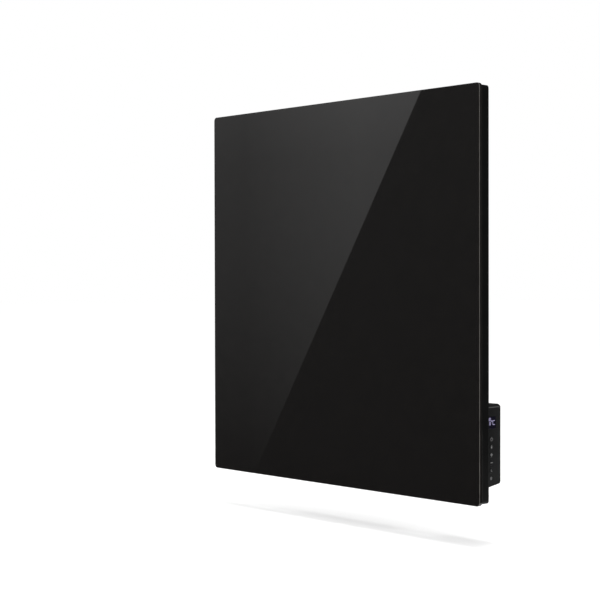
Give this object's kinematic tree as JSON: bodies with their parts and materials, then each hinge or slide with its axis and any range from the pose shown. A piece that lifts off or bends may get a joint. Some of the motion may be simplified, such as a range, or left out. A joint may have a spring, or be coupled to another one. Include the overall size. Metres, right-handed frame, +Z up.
{
  "type": "infrared panel heater",
  "caption": "Wall-hung infrared panel heater: black glass front on a shallow steel case, with a control box and keys on its back and a rail that it lifts off.",
  "frame": {"origin": "centre of the wall rail's rear face, on the wall plane", "axes": "+Z up, +Y into the wall, -Y to the room, +X to the right seen from the room"},
  "size_m": [0.6, 0.0572, 0.6],
  "materials": {
    "black_steel": "black satin paint on steel",
    "steel": "zinc-plated steel",
    "black_glass": "gloss, black on its back",
    "silicone": "black silicone rubber",
    "carbon_film": "black carbon film in clear polyester",
    "copper": "bare copper strip",
    "foil": "bright aluminium",
    "mineral_wool": "pressed mineral wool board",
    "powder_coat": "fine matt black powder coat",
    "box_plastic": "finely spark-eroded black ABS",
    "key_plastic": "smooth satin black ABS with pale legend",
    "base_plastic": "matt black ABS",
    "dark_window": "smoked polycarbonate",
    "board": "green solder mask",
    "relay_blue": "blue moulded case",
    "terminal_green": "green polyamide",
    "ceramic": "white ceramic tube",
    "led_grey": "dark grey display and sensor moulding",
    "lead_red": "red silicone insulation",
    "lead_blue": "blue silicone insulation"
  },
  "bodies": {
    "rail": {"wall_rail": "black_steel"},
    "heater": {"glass_panel": "black_glass", "edge_adhesive": "silicone", "heating_film": "carbon_film", "busbar_left": "copper", "busbar_right": "copper", "reflector_sheet": "foil", "insulation_board": "mineral_wool", "thermal_cutout": "steel", "bond_frame": "foil", "rear_case": "powder_coat", "case_screw_1": "black_steel", "case_screw_2": "black_steel", "case_screw_3": "black_steel", "case_screw_4": "black_steel", "case_screw_5": "black_steel", "case_screw_6": "black_steel", "hanger_channel": "powder_coat", "hanger_screw_1": "steel", "hanger_screw_2": "steel", "hanger_screw_3": "steel", "hanger_screw_4": "steel", "spacer_channel": "powder_coat", "spacer_screw_1": "steel", "spacer_screw_2": "steel", "bumper_left": "silicone", "bumper_right": "silicone", "supply_lead": "lead_red", "cutout_lead": "lead_red", "return_lead": "lead_blue", "wire_grommet": "silicone", "box_shell": "box_plastic", "box_base": "base_plastic", "box_screw_1": "black_steel", "box_screw_2": "black_steel", "box_screw_3": "black_steel", "box_screw_4": "black_steel", "display_window": "dark_window", "display_module": "led_grey", "power_switch": "steel", "lock_switch": "steel", "plus_switch": "steel", "minus_switch": "steel", "timer_switch": "steel", "receiver_window": "dark_window", "receiver": "led_grey", "power_board": "board", "control_board": "board", "supply_module": "base_plastic", "relay": "relay_blue", "terminal_block": "terminal_green", "fuse": "ceramic", "gland_body": "box_plastic", "gland_cap": "box_plastic", "gland_locknut": "box_plastic"},
    "power_button": {"power_key": "key_plastic"},
    "lock_button": {"lock_key": "key_plastic"},
    "plus_button": {"plus_key": "key_plastic"},
    "minus_button": {"minus_key": "key_plastic"},
    "timer_button": {"timer_key": "key_plastic"}
  },
  "joints": [
    {"name": "heater_lift", "type": "slide", "parent": "rail", "child": "heater", "axis": [0, 0, 1], "range_m": [0, 0.014]},
    {"name": "power_press", "type": "slide", "parent": "heater", "child": "power_button", "axis": [-1, 0, 0], "range_m": [0, 0.0005], "stiffness_N_per_m": 1600},
    {"name": "lock_press", "type": "slide", "parent": "heater", "child": "lock_button", "axis": [-1, 0, 0], "range_m": [0, 0.0005], "stiffness_N_per_m": 1600},
    {"name": "plus_press", "type": "slide", "parent": "heater", "child": "plus_button", "axis": [-1, 0, 0], "range_m": [0, 0.0005], "stiffness_N_per_m": 1600},
    {"name": "minus_press", "type": "slide", "parent": "heater", "child": "minus_button", "axis": [-1, 0, 0], "range_m": [0, 0.0005], "stiffness_N_per_m": 1600},
    {"name": "timer_press", "type": "slide", "parent": "heater", "child": "timer_button", "axis": [-1, 0, 0], "range_m": [0, 0.0005], "stiffness_N_per_m": 1600}
  ]
}
